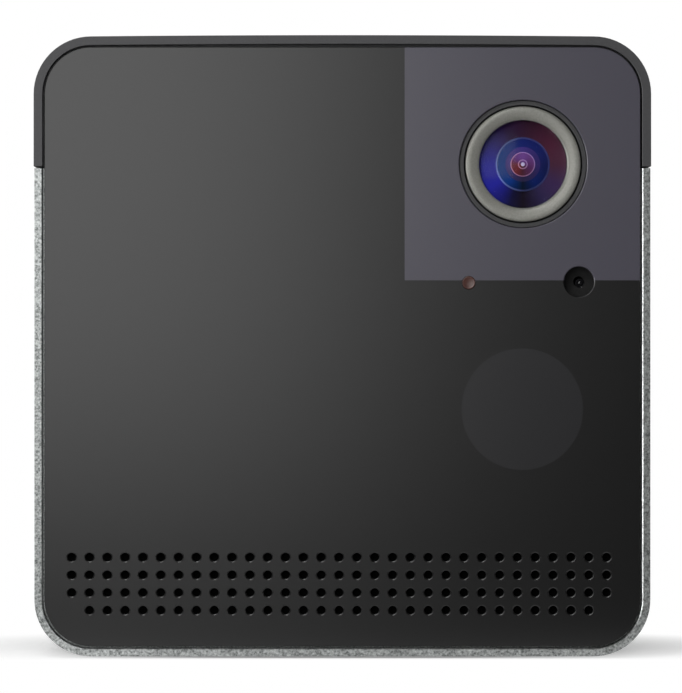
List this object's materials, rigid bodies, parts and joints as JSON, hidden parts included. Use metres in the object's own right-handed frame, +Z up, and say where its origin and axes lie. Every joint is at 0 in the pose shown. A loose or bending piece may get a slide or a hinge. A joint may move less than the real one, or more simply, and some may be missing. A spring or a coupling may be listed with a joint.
{
  "type": "pet camera",
  "caption": "Cube-shaped pet camera with an aluminium body, a black cap and front panel, a wide-angle lens, a speaker grille and an aimed play laser behind a round window.",
  "frame": {"origin": "centre of the footprint, on the surface that the camera stands on", "axes": "+Z up, -Y out of the front panel, +X to the right as seen from the front"},
  "size_m": [0.0762, 0.0762, 0.0768],
  "materials": {
    "blasted_aluminium": "bead-blasted, clear anodised",
    "black_abs": "moulded, fine satin texture",
    "black_acrylic": "gloss, printed black behind",
    "window_filter": "polished, red passing",
    "grey_barrel": "satin grey anodised",
    "lens_glass": "polished and coated",
    "red_light_pipe": "smooth, translucent",
    "rubber": "fine matte",
    "brass": "turned",
    "steel": "plated",
    "circuit_board": "green solder mask",
    "chip_black": "moulded resin",
    "paper_cone": "pressed pulp",
    "amber_film": "polyimide film",
    "grey_pom": "moulded acetal"
  },
  "bodies": {
    "root": {"aluminium_body": "blasted_aluminium", "heat_sink": "blasted_aluminium", "antenna_cap": "black_abs", "chassis": "black_abs", "lens_collar": "black_abs", "rear_cover": "black_abs", "front_panel": "black_acrylic", "laser_window": "window_filter", "lens_barrel": "grey_barrel", "front_lens": "lens_glass", "rear_lens": "lens_glass", "light_sensor": "lens_glass", "infrared_led_1": "lens_glass", "infrared_led_2": "lens_glass", "infrared_led_3": "lens_glass", "infrared_led_4": "lens_glass", "status_light": "red_light_pipe", "foot_pad": "rubber", "sensor_sleeve": "rubber", "tripod_insert": "brass", "speaker_mesh": "steel", "speaker_frame": "steel", "speaker_magnet": "steel", "microphone": "steel", "pan_motor": "steel", "filter_coil": "steel", "usb_socket": "steel", "wifi_module": "steel", "camera_screw_1": "steel", "camera_screw_2": "steel", "bracket_screw_1": "steel", "bracket_screw_2": "steel", "board_screw_1": "steel", "board_screw_2": "steel", "board_screw_3": "steel", "board_screw_4": "steel", "rear_screw_1": "steel", "rear_screw_2": "steel", "rear_screw_3": "steel", "rear_screw_4": "steel", "camera_board": "circuit_board", "led_board": "circuit_board", "main_board": "circuit_board", "lens_holder": "chip_black", "image_sensor": "chip_black", "main_chip": "chip_black", "reset_switch": "chip_black", "antenna_cable": "chip_black", "speaker_cone": "paper_cone", "wifi_antenna": "amber_film", "camera_ribbon": "amber_film", "laser_bracket": "grey_pom"},
    "laser_pan_body": {"pan_yoke": "grey_pom", "tilt_motor": "steel"},
    "laser_tilt_body": {"laser_cradle": "black_abs", "laser_module": "brass", "laser_lens": "lens_glass"},
    "filter_body": {"filter_slider": "grey_pom", "filter_glass": "red_light_pipe"},
    "reset_body": {"reset_button": "grey_pom"}
  },
  "joints": [
    {"name": "laser_pan", "type": "hinge", "parent": "root", "child": "laser_pan_body", "pos_m": [0.0222, -0.026, 0.0307], "axis": [0, 0, 1], "range_deg": [-25, 25]},
    {"name": "laser_tilt", "type": "hinge", "parent": "laser_pan_body", "child": "laser_tilt_body", "pos_m": [0.0222, -0.026, 0.0307], "axis": [1, 0, 0], "range_deg": [-10, 25]},
    {"name": "filter_slide", "type": "slide", "parent": "root", "child": "filter_body", "axis": [-1, 0, 0], "range_m": [0, 0.0066]},
    {"name": "reset_press", "type": "slide", "parent": "root", "child": "reset_body", "axis": [0, -1, 0], "range_m": [0, 0.0004], "stiffness_N_per_m": 800}
  ]
}
